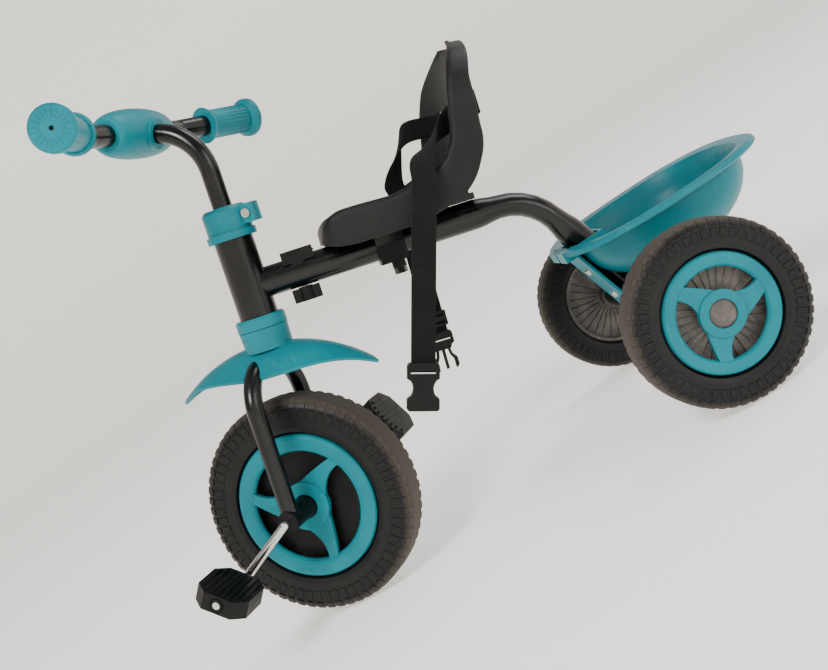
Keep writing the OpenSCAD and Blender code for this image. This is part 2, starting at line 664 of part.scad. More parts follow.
module grip(side) {
    color(teal) bar_end_frame(side) rotate([-90 * side, 0, 0]) translate([0, 0, grip_start]) difference() {
        union() {
            cylinder(r1 = 22, r2 = 20, h = 5);
            cylinder(r1 = 18, r2 = 16.5, h = grip_length - 4);
            translate([0, 0, grip_length - 14]) cylinder(r1 = 18, r2 = grip_end_d / 2, h = 5);
            translate([0, 0, grip_length - 9]) cylinder(d = grip_end_d, h = 7);
            translate([0, 0, grip_length - 2]) cylinder(r1 = grip_end_d / 2, r2 = grip_end_d / 2 - 3, h = 3);
        }
        translate([0, 0, -1]) cylinder(r = bar_d / 2, h = bar_end - grip_start + 1);
        cylinder(r = 2.5, h = grip_length + 10);
    }
}
module grip_left() { grip(-1); }
module grip_right() { grip(1); }

// Leaf-shaped mudguard on an arc round the front axle
guard_r = front_r + 63;
guard_front = 39;
guard_rear = 44;
guard_half = 43;
guard_wall = 3;
function guard_ring(t) = let (a = -guard_front + (guard_front + guard_rear) * t, k = (t < 0.5 ? t : 1 - t) * 2,
        w = 1.2 + guard_half * pow(sin(90 * k), 0.8), drop = w * w / 62)
    concat(
        [for (v = seg(-1, 1, 8)) let (r = guard_r - drop * v * v) [r * sin(a), w * v, r * cos(a)]],
        [for (v = seg(1, -1, 8)) let (r = guard_r - guard_wall - drop * v * v) [r * sin(a), (w - 0.5) * v, r * cos(a)]]);
module mudguard() {
    color(teal) difference() {
        union() {
            front_axle() ring_skin([for (t = seg(1, 0, 28)) guard_ring(t)]);
            steer_frame() translate([0, 0, crown_top - 6]) cylinder(r1 = head_tube_d / 2 + 5, r2 = head_tube_d / 2 + 6, h = guard_top - crown_top + 6);
        }
        steer_frame() cylinder(r = steerer_d / 2, h = 400);
        steer_frame() translate([0, 0, crown_low - 10]) cylinder(r = head_tube_d / 2 - 1.5, h = crown_top - crown_low + 10);
    }
}
module fork_crown() {
    color(black) steer_frame() difference() {
        translate([0, 0, crown_low]) cylinder(r = head_tube_d / 2 - 1.5, h = crown_top - crown_low);
        cylinder(d = steerer_d, h = 400);
    }
}
leg_bend_r = 50;
leg_straight = front_r - 8;
module fork_leg(side) {
    color(black) steer_frame() difference() {
        mirror([0, side > 0 ? 1 : 0, 0]) {
            translate([-fork_offset, 0, 0]) {
                translate([0, -fork_half, 0]) cylinder(d = fork_tube_d, h = leg_straight);
                translate([0, -fork_half + leg_bend_r, leg_straight]) rotate([90, 0, -90])
                    rotate_extrude(angle = 76) translate([leg_bend_r, 0]) circle(d = fork_tube_d);
            }
        }
        translate([0, 0, crown_low - 40]) cylinder(r = head_tube_d / 2 - 1.5, h = crown_top);
        translate([-fork_offset, 0, 0]) y_rod(fork_end_d / 2, -fork_half - 20, fork_half + 20);
    }
}
module fork_leg_left() { fork_leg(-1); }
module fork_leg_right() { fork_leg(1); }
bushing_half = 12;
module fork_bushings() {
    color(black) front_axle() for (side = [-1, 1]) translate([0, side * fork_half, 0]) difference() {
        y_rod(fork_end_d / 2, -bushing_half, bushing_half);
        y_rod(axle_r + turn_fit, -20, 20);
    }
}

// ---------- Front wheel ----------

// Solid ring with rounded shoulders, open to a bead radius inside
module tyre_ring(r, w, bead) {
    shoulder = w * 0.28;
    rotate([90, 0, 0]) rotate_extrude() polygon(concat(
        [[bead, -w / 2 + 7], [bead + 3, -w / 2 + 1.5], [bead + 8, -w / 2]],
        [for (a = seg(-90, 0, 6)) [r - shoulder + shoulder * cos(a), -w / 2 + shoulder + shoulder * sin(a)]],
        [for (a = seg(0, 90, 6)) [r - shoulder + shoulder * cos(a), w / 2 - shoulder + shoulder * sin(a)]],
        [[bead + 8, w / 2], [bead + 3, w / 2 - 1.5], [bead, w / 2 - 7]]));
}
// Inner plastic disc of a wheel: rim band, web and hub
module wheel_disc(rim, w, hub_r, bore_r, inward = 0) {
    difference() {
        union() {
            rotate([90, 0, 0]) rotate_extrude() polygon([[rim - 4, -w / 2], [rim, -w / 2], [rim, w / 2], [rim - 4, w / 2]]);
            y_rod(rim - 3, -w / 2 + 9, w / 2 - 9);
            y_rod(hub_r, -w / 2, w / 2 + inward);
        }
        y_rod(bore_r, -w, w);
    }
}
spoke_count = 3;
// Half width of a spoke at a share t of its way from hub to ring, and how far it leans round
function spoke_edge(t, root, tip, side, lean) = side * (tip + (root - tip) * pow(1 - t, 2.2)) + lean * 4 * t * (1 - t);
// Trim with three curved spokes, with its back at y = 0 and its outer face towards -y
module wheel_cover(outer, inner, hub_r, bore_r, thick, root, tip, lean, turn) {
    rotate([90, 0, 0]) difference() {
        union() {
            rotate_extrude() polygon([[inner, 0], [outer, 0], [outer, thick - 3], [outer - 1.5, thick - 1],
                [outer - 5, thick], [inner + 6, thick - 0.5], [inner + 2, thick - 1.5], [inner, thick - 4]]);
            cylinder(r = hub_r, h = thick - 0.7);
            for (k = [0 : spoke_count - 1]) rotate([0, 0, turn + 360 / spoke_count * k]) linear_extrude(thick - 2.3)
                polygon(concat([for (t = seg(0, 1, 6)) [hub_r * 0.5 + (inner + 4 - hub_r * 0.5) * t,
                        spoke_edge(t, root, tip, 1, lean)]],
                    [for (t = seg(1, 0, 6)) [hub_r * 0.5 + (inner + 4 - hub_r * 0.5) * t,
                        spoke_edge(t, root, tip, -1, lean)]]));
        }
        translate([0, 0, -1]) cylinder(r = bore_r, h = thick + 2);
    }
}
front_hub_r = 28;
front_web_r = 24;
cover_thick = 8;
module front_tyre() { color(tyre_grey) front_axle() tyre_ring(front_r, front_tyre_w, front_trim_d / 2); }
module front_disc() { color(tyre_grey) front_axle() wheel_disc(front_trim_d / 2 - 0.05, front_tyre_w - 16, front_web_r, axle_r); }
module front_cover(side) {
    color(teal) front_axle() rotate([0, 0, side > 0 ? 180 : 0]) translate([0, -front_tyre_w / 2 + 8, 0])
        wheel_cover(front_trim_d / 2 - 0.3, front_trim_d / 2 - 20, front_hub_r, 14, cover_thick, 22, 6, 6, 40);
}
module front_cover_left() { front_cover(-1); }
module front_cover_right() { front_cover(1); }
sleeve_in = front_tyre_w / 2 - 8;
sleeve_out = fork_half - bushing_half - part_gap;
module hub_sleeves() {
    color(disc_grey) front_axle() for (side = [-1, 1]) rotate([90 * side, 0, 0]) difference() {
        translate([0, 0, sleeve_in]) cylinder(r1 = 13.4, r2 = 11.5, h = sleeve_out - sleeve_in);
        cylinder(r = axle_r, h = 200);
    }
}
arm_y = fork_half + bushing_half + axle_r + 4;
spindle_end = arm_y + 10 + pedal_width;
module crank_side(side) {
    turn = side < 0 ? 180 + crank_rest : crank_rest;
    // arm along x before the turn: rotation about y takes it forward and down on the left
    rotate([0, side < 0 ? 180 - crank_rest : -crank_rest, 0]) {
        if (side < 0) y_rod(axle_r, -arm_y, 0); else y_rod(axle_r, 0, arm_y);
        translate([0, side * arm_y, 0]) {
            sphere(r = axle_r);
            x_rod(axle_r, 0, crank_length);
            translate([crank_length, 0, 0]) {
                sphere(r = axle_r);
                if (side < 0) y_rod(axle_r - 1, -(spindle_end - arm_y), 0); else y_rod(axle_r - 1, 0, spindle_end - arm_y);
            }
        }
    }
}
module crank() { color(steel) front_axle() for (side = [-1, 1]) crank_side(side); }
// Frame of a pedal, y along its spindle
module pedal_frame(side) {
    front_axle() rotate([0, side < 0 ? 180 - crank_rest : -crank_rest, 0]) translate([crank_length, 0, 0])
        rotate([0, side < 0 ? -180 + crank_rest : crank_rest, 0]) children();
}
pedal_in = arm_y + axle_r + 4;
pedal_pitch = [32, 58];
module pedal(side) {
    a = pedal_length / 2;
    b = pedal_width / 2;
    cut = 13;
    color(black) pedal_frame(side) rotate([0, side < 0 ? pedal_pitch[0] : pedal_pitch[1], 0]) difference() {
        translate([0, side * (pedal_in + b), 0]) linear_extrude(pedal_height, center = true)
            polygon([[-a, -b + cut], [-a + cut, -b], [a - cut, -b], [a, -b + cut],
                [a, b - cut], [a - cut, b], [-a + cut, b], [-a, b - cut]]);
        y_rod(axle_r - 1 + turn_fit, -300, 300);
        translate([0, side * (spindle_end - 4), 0]) rotate([-90 * side, 0, 0]) cylinder(r = 8, h = 60);
    }
}
module pedal_left() { pedal(-1); }
module pedal_right() { pedal(1); }
module pedal_caps() {
    color(steel) for (side = [-1, 1]) pedal_frame(side) translate([0, side * (spindle_end - 3), 0])
        rotate([-90 * side, 0, 0]) difference() {
            cylinder(r = 7, h = 2.4);
            translate([0, 0, -1]) cylinder(r = axle_r - 1, h = 3.5);
        }
}

// ---------- Rear wheels ----------

rear_hub_r = 24;
hub_cap_r = 14.5;
module rear_wheel_frame(side) {
    rear_axle_frame() translate([0, side * (rear_inner_y + rear_tyre_w / 2), 0]) rotate([0, 0, side > 0 ? 180 : 0]) children();
}
module rear_tyre(side) { color(tyre_grey) rear_wheel_frame(side) tyre_ring(rear_r, rear_tyre_w, rear_trim_d / 2); }
module rear_disc(side) {
    color(disc_grey) rear_wheel_frame(side) wheel_disc(rear_trim_d / 2 - 0.05, rear_tyre_w - 14, rear_hub_r - 9, axle_r + turn_fit, 6.4);
}
module rear_cover(side) {
    color(teal) rear_wheel_frame(side) translate([0, -rear_tyre_w / 2 + 7, 0])
        wheel_cover(rear_trim_d / 2 - 0.3, rear_trim_d / 2 - 14.5, rear_hub_r, hub_cap_r + 0.1, cover_thick, 19, 7, -4, 125);
}
module push_nut(side) {
    color(steel) rear_wheel_frame(side) rotate([90, 0, 0]) translate([0, 0, rear_tyre_w / 2 - 7 + part_gap]) difference() {
        cylinder(r = 9, h = 1.6);
        translate([0, 0, -1]) cylinder(r = axle_r, h = 4);
    }
}
module hub_cap(side) {
    color(disc_grey) rear_wheel_frame(side) rotate([90, 0, 0]) translate([0, 0, rear_tyre_w / 2 - 7]) difference() {
        union() {
            cylinder(r = hub_cap_r, h = 5.5);
            translate([0, 0, 5.5]) cylinder(r1 = hub_cap_r, r2 = hub_cap_r - 2.5, h = 1.5);
        }
        translate([0, 0, -1]) cylinder(r = 10.5, h = 5.5);
    }
}
module rear_tyre_left() { rear_tyre(-1); }
module rear_tyre_right() { rear_tyre(1); }
module rear_disc_left() { rear_disc(-1); }
module rear_disc_right() { rear_disc(1); }
module rear_cover_left() { rear_cover(-1); }
module rear_cover_right() { rear_cover(1); }
module push_nut_left() { push_nut(-1); }
module push_nut_right() { push_nut(1); }
module hub_cap_left() { hub_cap(-1); }
module hub_cap_right() { hub_cap(1); }

main_tube();
head_tube();
upper_bearing();
lower_bearing();
lower_collar();
axle_tube();
rear_axle();
axle_spacers();
bucket();
bucket_screws();
seat_clip();
anchor_bolt();
anchor_knob();
seat_shell();
seat_bracket();
seat_clamp();
clamp_bolt();
seat_screws();
harness_back();
strap_left();
strap_right();
buckle_socket();
buckle_plug();
strap_adjuster();
steerer();
stem();
top_collar();
collar_bolt();
crossbar();
bar_cover();
grip_left();
grip_right();
mudguard();
fork_crown();
fork_leg_left();
fork_leg_right();
fork_bushings();
front_tyre();
front_disc();
front_cover_left();
front_cover_right();
crank();
hub_sleeves();
pedal_left();
pedal_right();
pedal_caps();
rear_tyre_left();
rear_disc_left();
rear_cover_left();
hub_cap_left();
push_nut_left();
rear_tyre_right();
rear_disc_right();
rear_cover_right();
hub_cap_right();
push_nut_right();
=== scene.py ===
from math import cos, pi, radians, sin, tan

import bmesh
import bpy
from mathutils import Matrix, Vector


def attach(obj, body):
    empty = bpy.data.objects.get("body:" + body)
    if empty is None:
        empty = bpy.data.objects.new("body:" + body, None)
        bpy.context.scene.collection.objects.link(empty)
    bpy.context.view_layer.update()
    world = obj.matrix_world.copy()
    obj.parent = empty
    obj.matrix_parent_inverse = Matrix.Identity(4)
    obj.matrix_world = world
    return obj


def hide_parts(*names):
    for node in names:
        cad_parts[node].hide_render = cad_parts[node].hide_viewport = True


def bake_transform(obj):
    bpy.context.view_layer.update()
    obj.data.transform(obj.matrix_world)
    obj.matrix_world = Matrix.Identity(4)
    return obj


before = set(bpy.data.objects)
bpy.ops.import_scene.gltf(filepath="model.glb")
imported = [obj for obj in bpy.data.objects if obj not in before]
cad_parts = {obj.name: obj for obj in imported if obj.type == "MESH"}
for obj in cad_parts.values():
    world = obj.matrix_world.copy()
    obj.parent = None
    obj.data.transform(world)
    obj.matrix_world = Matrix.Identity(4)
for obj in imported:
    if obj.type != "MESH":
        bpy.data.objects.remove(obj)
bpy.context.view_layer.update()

# ---- Studio ----
# A pale seamless floor that curves up into a wall all round, soft lamps, and the camera. It is held low
# on the rider's left and rolled, so that the tricycle shows nose down as if it hung by its seat's back.
flat_r, sweep_r, wall_top, floor_sides, floor_level = 9, 3, 5, 64, -0.0012
floor_line = [(0.01, 0), (3, 0), (flat_r, 0)]
floor_line += [(flat_r + sweep_r * sin(radians(a)), sweep_r - sweep_r * cos(radians(a))) for a in range(9, 91, 9)]
floor_line += [(flat_r + sweep_r, wall_top)]
floor_points = [(r * cos(2 * pi * k / floor_sides), r * sin(2 * pi * k / floor_sides), z)
                for r, z in floor_line for k in range(floor_sides)]
floor_faces = []
for i in range(len(floor_line) - 1):
    inner, outer = floor_sides * i, floor_sides * (i + 1)
    floor_faces += [(inner + k, outer + k, outer + (k + 1) % floor_sides, inner + (k + 1) % floor_sides)
                    for k in range(floor_sides)]
floor_faces.append(tuple(range(floor_sides)))
floor_mesh = bpy.data.meshes.new("studio_floor")
floor_mesh.from_pydata(floor_points, [], floor_faces)
for face in floor_mesh.polygons:
    face.use_smooth = True
floor = bpy.data.objects.new("studio_floor", floor_mesh)
bpy.context.scene.collection.objects.link(floor)
floor.location = (0, 0, floor_level)


class Wire:
    """A value in a material's or a geometry's node tree, so that its maths reads as Python."""

    def __init__(self, tree, socket=None):
        self.tree, self.socket = tree, socket

    def node(self, kind, settings=None, sockets=None, out=0):
        made = self.tree.nodes.new(kind)
        for key, value in (settings or {}).items():
            setattr(made, key, value)
        for key, value in (sockets or {}).items():
            if isinstance(value, Wire):
                self.tree.links.new(value.socket, made.inputs[key])
            else:
                made.inputs[key].default_value = value
        return Wire(self.tree, made.outputs[out])

    def maths(self, operation, *values):
        return self.node("ShaderNodeMath", {"operation": operation}, dict(enumerate(values)))

    def __add__(self, other): return self.maths("ADD", self, other)
    def __radd__(self, other): return self.maths("ADD", other, self)
    def __sub__(self, other): return self.maths("SUBTRACT", self, other)
    def __rsub__(self, other): return self.maths("SUBTRACT", other, self)
    def __mul__(self, other): return self.maths("MULTIPLY", self, other)
    def __truediv__(self, other): return self.maths("DIVIDE", self, other)

    def noise(self, scale, detail=4.0, rough=0.55):
        return self.node("ShaderNodeTexNoise", {},
                         {"Vector": self, "Scale": scale, "Detail": detail, "Roughness": rough})

    def stretched(self, scale, turn=(0.0, 0.0, 0.0)):
        """This place with each axis scaled, so that a noise over it runs in streaks."""
        return self.node("ShaderNodeMapping", {}, {"Vector": self, "Scale": scale, "Rotation": turn})

    def between(self, low, high):
        """The value's rise from low to high as 0 to 1."""
        return self.node("ShaderNodeMapRange", {"interpolation_type": "SMOOTHSTEP"},
                         {"Value": self, "From Min": low, "From Max": high})

    def blend(self, first, second):
        """Colours mixed by this value."""
        return self.node("ShaderNodeMix", {"data_type": "RGBA"}, {0: self, 6: first, 7: second}, 2)

    def bump(self, distance, strength=1.0):
        return self.node("ShaderNodeBump", {}, {"Height": self, "Distance": distance, "Strength": strength})


def finish_of(name, varying, **fixed):
    """A material whose varying sockets come from varying(place), place being Object coordinates."""
    material = bpy.data.materials.new(name)
    material.use_nodes = True
    shader = material.node_tree.nodes["Principled BSDF"]
    for key, value in fixed.items():
        shader.inputs[key.replace("_", " ")].default_value = value
    place = Wire(material.node_tree).node("ShaderNodeTexCoord", {}, {}, 3)
    for key, value in varying(place).items():
        material.node_tree.links.new(value.socket, shader.inputs[key.replace("_", " ")])
    return material


def shade(r, g, b):
    return (r, g, b, 1)


def pale_floor(place):
    return {"Base_Color": place.noise(1.5).blend(shade(0.90, 0.875, 0.835), shade(0.925, 0.90, 0.86)),
            "Roughness": place.noise(40) * 0.1 + 0.75}


floor_mesh.materials.append(finish_of("pale_floor", pale_floor, Emission_Color=shade(1.0, 0.965, 0.915),
                                      Emission_Strength=0.62))

world = bpy.data.worlds.new("studio")
bpy.context.scene.world = world
world.use_nodes = True
sky = world.node_tree.nodes["Background"]
sky.inputs["Color"].default_value = (1.0, 0.975, 0.935, 1)
sky.inputs["Strength"].default_value = 0.42
lamps_aim = Vector((0, 0, 0.25))
for lamp_name, spot, size, power, tint in (
        ("window_lamp", (-1.2, -2.2, 2.6), 1.0, 84, (1, 0.99, 0.97)),
        ("far_lamp", (2.2, 0.6, 2.6), 1.6, 44, (0.95, 0.98, 1)),
        ("fill_lamp", (1.8, -2.2, 1.0), 1.2, 16, (1, 1, 1))):
    light = bpy.data.lights.new(lamp_name, "AREA")
    light.size, light.energy, light.color = size, power, tint
    lamp = bpy.data.objects.new(lamp_name, light)
    lamp.location = spot
    lamp.rotation_euler = (lamps_aim - Vector(spot)).to_track_quat("-Z", "Y").to_euler()
    bpy.context.scene.collection.objects.link(lamp)

lens = bpy.data.cameras.new("camera")
lens.sensor_width = 36
lens.lens = 47.83
lens.clip_end = 100
camera = bpy.data.objects.new("camera", lens)
camera_at = (-0.09854, -1.23502, 0.37948)
azimuth, elevation, roll = radians(-2.47), radians(7.40), radians(33.34)
ahead = Vector((-sin(azimuth) * cos(elevation), cos(azimuth) * cos(elevation), -sin(elevation)))
level = Vector((cos(azimuth), sin(azimuth), 0))
upward = level.cross(ahead)
image_right = cos(roll) * level - sin(roll) * upward
image_up = sin(roll) * level + cos(roll) * upward
turned = Matrix((image_right, image_up, -ahead)).transposed().to_4x4()
camera.matrix_world = Matrix.Translation(camera_at) @ turned
bpy.context.scene.collection.objects.link(camera)
bpy.context.scene.camera = camera

# ---- Painted steel frame ----
# The bent main tube, head tube, rear axle tube, fork, stem and handlebar are steel tube with a
# glossy black powder coat. It has fine orange peel, hairline scuffs and a little dust on top.


def black_coat(place):
    dust = place.noise(9, 6, 0.7).between(0.42, 0.8)
    speck = place.noise(420, 2).between(0.66, 0.74)
    scuff = place.stretched((30, 260, 260)).noise(1, 3).between(0.68, 0.72)
    return {"Base_Color": (dust * 0.5).blend(shade(0.001, 0.001, 0.001), shade(0.01, 0.009, 0.008)),
            "Roughness": 0.17 + dust * 0.2 + scuff * 0.2 + speck * 0.1,
            "Normal": (place.noise(700, 2) * 0.5 - scuff * 0.4).bump(0.0002, 0.35)}


def paint(material, *parts):
    """Give CAD nodes one material throughout."""
    for part in parts:
        for i in range(len(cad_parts[part].data.materials)):
            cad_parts[part].data.materials[i] = material


def smooth_copy(node, material, body, sharp):
    """A piece that stands for a CAD node, smoothly shaded but for edges of more than sharp degrees."""
    form = bmesh.new()
    form.from_mesh(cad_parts[node].data)
    bmesh.ops.remove_doubles(form, verts=form.verts, dist=0.00002)
    for face in form.faces:
        face.smooth = True
    for edge in form.edges:
        edge.smooth = len(edge.link_faces) == 2 and edge.calc_face_angle(3) < radians(sharp)
    mesh = bpy.data.meshes.new(node + "_form")
    form.to_mesh(mesh)
    form.free()
    mesh.materials.clear()
    mesh.materials.append(material)
    piece = bpy.data.objects.new(node + "_piece", mesh)
    bpy.context.scene.collection.objects.link(piece)
    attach(piece, body)
    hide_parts(node)


coat = finish_of("black_powder_coat", black_coat, Specular_IOR_Level=0.38)
paint(coat, "head_tube", "axle_tube", "steerer", "stem", "crossbar", "fork_crown", "fork_leg_left",
      "fork_leg_right", "seat_bracket", "clamp_bolt")
smooth_copy("main_tube", coat, "frame", 60)

# ---- Teal mouldings ----
# Bucket, mudguard, collars, bar cover, grips and wheel trims are injection-moulded polypropylene,
# dyed teal right through, satin, with faint flow clouding, handling scratches and grime.


def teal_dye(place):
    cloud = place.noise(14, 5, 0.6)
    grime = place.noise(48, 6, 0.7).between(0.52, 0.72)
    scratch = place.stretched((400, 40, 60), (0.4, 0.7, 0.2)).noise(1, 2).between(0.69, 0.72)
    colour = cloud.between(0.3, 0.7).blend(shade(0.0, 0.160, 0.200), shade(0.0, 0.200, 0.245))
    colour = (grime * 0.22).blend(colour, shade(0.01, 0.13, 0.14))
    return {"Base_Color": (scratch * 0.3).blend(colour, shade(0.12, 0.42, 0.44)),
            "Roughness": 0.34 + cloud * 0.1 + grime * 0.16 + scratch * 0.15,
            "Normal": (place.noise(1500, 2) * 0.4 + place.noise(160, 2) * 0.6 - scratch * 0.5).bump(0.0002, 0.3)}


teal = finish_of("teal_polypropylene", teal_dye, Specular_IOR_Level=0.22)
paint(teal, "top_collar", "lower_collar", "bar_cover", "grip_left", "grip_right", "front_cover_left",
      "front_cover_right", "rear_cover_left", "rear_cover_right")
smooth_copy("mudguard", teal, "steering", 35)
smooth_copy("bucket", teal, "frame", 35)

# ---- Black mouldings, nylon and steel parts ----
# Clamp, clip, knob, pedals and buckles are black polypropylene. Bearings are darker nylon. The crank
# is chromed rod, and bolts and push nuts are zinc plated.


def black_dye(place):
    dust = place.noise(30, 6, 0.7).between(0.45, 0.75)
    return {"Base_Color": (dust * 0.55).blend(shade(0.003, 0.003, 0.003), shade(0.02, 0.018, 0.016)),
            "Roughness": 0.42 + dust * 0.2,
            "Normal": (place.noise(1800, 2) + place.noise(300, 2) * 0.5).bump(0.0002, 0.4)}


def nylon_dye(place):
    return {"Base_Color": place.noise(60).blend(shade(0.02, 0.019, 0.018), shade(0.05, 0.047, 0.043)),
            "Roughness": place.noise(90) * 0.2 + 0.45,
            "Normal": place.noise(900, 2).bump(0.0001, 0.4)}


def grey_dye(place):
    dust = place.noise(36, 6, 0.7).between(0.4, 0.7)
    rub = place.stretched((700, 60, 90)).noise(1, 2).between(0.66, 0.7)
    colour = dust.blend(shade(0.06, 0.055, 0.05), shade(0.16, 0.14, 0.12))
    return {"Base_Color": (rub * 0.5).blend(colour, shade(0.25, 0.23, 0.21)),
            "Roughness": 0.5 + dust * 0.2,
            "Normal": (place.noise(1200, 2) - rub).bump(0.0002, 0.5)}


def chrome_plate(place):
    haze = place.noise(60, 6, 0.7).between(0.5, 0.8)
    return {"Base_Color": haze.blend(shade(0.66, 0.65, 0.63), shade(0.36, 0.33, 0.30)),
            "Roughness": 0.14 + haze * 0.35,
            "Normal": place.noise(500, 3).bump(0.0001, 0.15)}


def zinc_plate(place):
    haze = place.noise(90, 6, 0.7).between(0.4, 0.8)
    return {"Base_Color": haze.blend(shade(0.52, 0.52, 0.5), shade(0.24, 0.21, 0.17)),
            "Roughness": 0.3 + haze * 0.35,
            "Normal": place.noise(800, 3).bump(0.0001, 0.3)}


black_plastic = finish_of("black_polypropylene", black_dye, Specular_IOR_Level=0.2)
nylon = finish_of("bearing_nylon", nylon_dye)
wheel_grey = finish_of("dusty_grey_plastic", grey_dye)
chrome = finish_of("chromed_rod", chrome_plate, Metallic=1.0)
zinc = finish_of("zinc_plate", zinc_plate, Metallic=1.0)
paint(black_plastic, "seat_clip", "anchor_knob", "seat_clamp", "buckle_socket", "buckle_plug", "strap_adjuster",
      "pedal_left", "pedal_right", "pedal_caps", "axle_spacers", "fork_bushings", "front_disc", "hub_sleeves")
paint(nylon, "upper_bearing", "lower_bearing")
paint(wheel_grey, "rear_disc_left", "rear_disc_right", "hub_cap_left", "hub_cap_right")
paint(chrome, "crank")
paint(zinc, "rear_axle", "bucket_screws", "anchor_bolt", "seat_screws", "collar_bolt", "push_nut_left",
      "push_nut_right")

# ---- Tyres ----
# Hollow blow-moulded tyres in hard black plastic. Their tread has worn and taken up brown dust, and
# three rows of short cross blocks run round each shoulder.
steering_foot, head_angle, steer_rest, fork_offset = (-0.235354, 0, 0.122361), 15.3, -25, 0.010
rear_axle_x, rear_wheel_y = 0.209, 0.187
front_r, front_width, rear_r, rear_width = 0.125, 0.046, 0.095, 0.038


def turned_y(degrees):
    return Matrix.Rotation(radians(degrees), 4, "Y")


def turned_z(degrees):
    return Matrix.Rotation(radians(degrees), 4, "Z")


steering = Matrix.Translation(steering_foot) @ turned_y(head_angle) @ turned_z(steer_rest)
front_axle = steering @ Matrix.Translation((-fork_offset, 0, 0))
rear_axle = {side: Matrix.Translation((rear_axle_x, side * rear_wheel_y, rear_r)) @ turned_z(180 if side > 0 else 0)
             for side in (-1, 1)}


def worn_tyre(wheel, radius):
    """Black plastic for a wheel's tyre, brown with wear where it meets the ground."""
    middle, axis = wheel.translation, wheel.to_3x3() @ Vector((0, 1, 0))

    def varying(place):
        arm = place.node("ShaderNodeVectorMath", {"operation": "SUBTRACT"}, {0: place, 1: tuple(middle)})
        moment = place.node("ShaderNodeVectorMath", {"operation": "CROSS_PRODUCT"}, {0: arm, 1: tuple(axis)})
        away = place.node("ShaderNodeVectorMath", {"operation": "LENGTH"}, {0: moment}, 1)
        dust = place.noise(30, 6, 0.7)
        worn = (away + dust * 0.008 - 0.004).between(radius * 0.925, radius * 0.985)
        scuff = place.noise(260, 3).between(0.55, 0.7)
        side = (scuff * 0.25 + dust.between(0.45, 0.75) * 0.35).blend(shade(0.0015, 0.0015, 0.0015),
                                                                      shade(0.014, 0.012, 0.010))
        return {"Base_Color": (worn * 0.9).blend(side, shade(0.060, 0.050, 0.040)),
                "Roughness": 0.36 + worn * 0.34 + dust * 0.14,
                "Normal": (place.noise(600, 4) * 0.5 + place.noise(90, 3)).bump(0.0004, 0.35)}
    return varying


front_rubber = finish_of("worn_front_tyre", worn_tyre(front_axle, front_r), Specular_IOR_Level=0.3)
rear_rubber = finish_of("worn_rear_tyre", worn_tyre(rear_axle[-1], rear_r), Specular_IOR_Level=0.3)
paint(front_rubber, "front_tyre")
paint(rear_rubber, "rear_tyre_left", "rear_tyre_right")


def new_tree(name, sockets):
    """An empty geometry tree, the identifiers of its inputs, and their values inside it by name."""
    tree = bpy.data.node_groups.new(name, "GeometryNodeTree")
    tree.interface.new_socket("Geometry", in_out="OUTPUT", socket_type="NodeSocketGeometry")
    inputs = {}
    for label, kind, value in sockets:
        made = tree.interface.new_socket(label, in_out="INPUT", socket_type="NodeSocket" + kind)
        made.default_value = value
        inputs[label] = made.identifier
    made = tree.interface.new_socket("Finish", in_out="INPUT", socket_type="NodeSocketMaterial")
    inputs["Finish"] = made.identifier
    entry = tree.nodes.new("NodeGroupInput")
    return tree, inputs, {socket.name: Wire(tree, socket) for socket in entry.outputs if socket.name}


def end_tree(tree, stood, finish):
    """Turn a tree's instances into one mesh with its finish, as the tree's result."""
    solid = stood.node("GeometryNodeRealizeInstances", {}, {"Geometry": stood})
    done = solid.node("GeometryNodeSetMaterial", {}, {"Geometry": solid, "Material": finish})
    tree.links.new(done.socket, tree.nodes.new("NodeGroupOutput").inputs[0])


# Ring of blocks: small boxes stood round a circle in the x-z plane, each turned to face outwards.
ring_tree, ring_inputs, given = new_tree("ring_of_blocks", (
    ("Count", "Int", 60), ("Radius", "Float", 0.1), ("Along", "Float", 0.0),
    ("Block", "Vector", (0.004, 0.01, 0.003)), ("Tip", "Float", 0.0), ("Phase", "Float", 0.0)))
at = Wire(ring_tree)
turn = at.node("GeometryNodeInputIndex") / given["Count"] * (2 * pi) + given["Phase"]
spot = at.node("ShaderNodeCombineXYZ", {}, {0: turn.maths("COSINE", turn) * given["Radius"], 1: given["Along"],
                                            2: turn.maths("SINE", turn) * given["Radius"]})
points = at.node("GeometryNodePoints", {}, {"Count": given["Count"], "Position": spot})
block = at.node("GeometryNodeMeshCube", {}, {"Size": given["Block"]})
tip = at.node("ShaderNodeCombineXYZ", {}, {2: given["Tip"]})
tipped = at.node("GeometryNodeTransform", {}, {"Geometry": block, "Rotation": tip})
facing = at.node("ShaderNodeCombineXYZ", {}, {1: 0 - turn})
end_tree(ring_tree, at.node("GeometryNodeInstanceOnPoints", {},
                            {"Points": points, "Instance": tipped, "Rotation": facing}), given["Finish"])


def grown(name, tree, inputs, values, matrix, body, bevel):
    """The plain mesh that a geometry tree grows with these input values, its edges bevelled, moved by matrix."""
    maker = bpy.data.objects.new(name + "_maker", bpy.data.meshes.new(name + "_maker"))
    bpy.context.scene.collection.objects.link(maker)
    grower = maker.modifiers.new("Grower", "NODES")
    grower.node_group = tree
    for key, value in values.items():
        grower[inputs[key]] = value
    edge = maker.modifiers.new("Edge", "BEVEL")
    edge.width, edge.segments, edge.limit_method = bevel, 1, "ANGLE"
    bpy.context.view_layer.update()
    mesh = bpy.data.meshes.new_from_object(maker.evaluated_get(bpy.context.evaluated_depsgraph_get()))
    bpy.data.objects.remove(maker)
    mesh.transform(matrix)
    mesh.name = name
    piece = bpy.data.objects.new(name, mesh)
    bpy.context.scene.collection.objects.link(piece)
    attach(piece, body)
    return piece


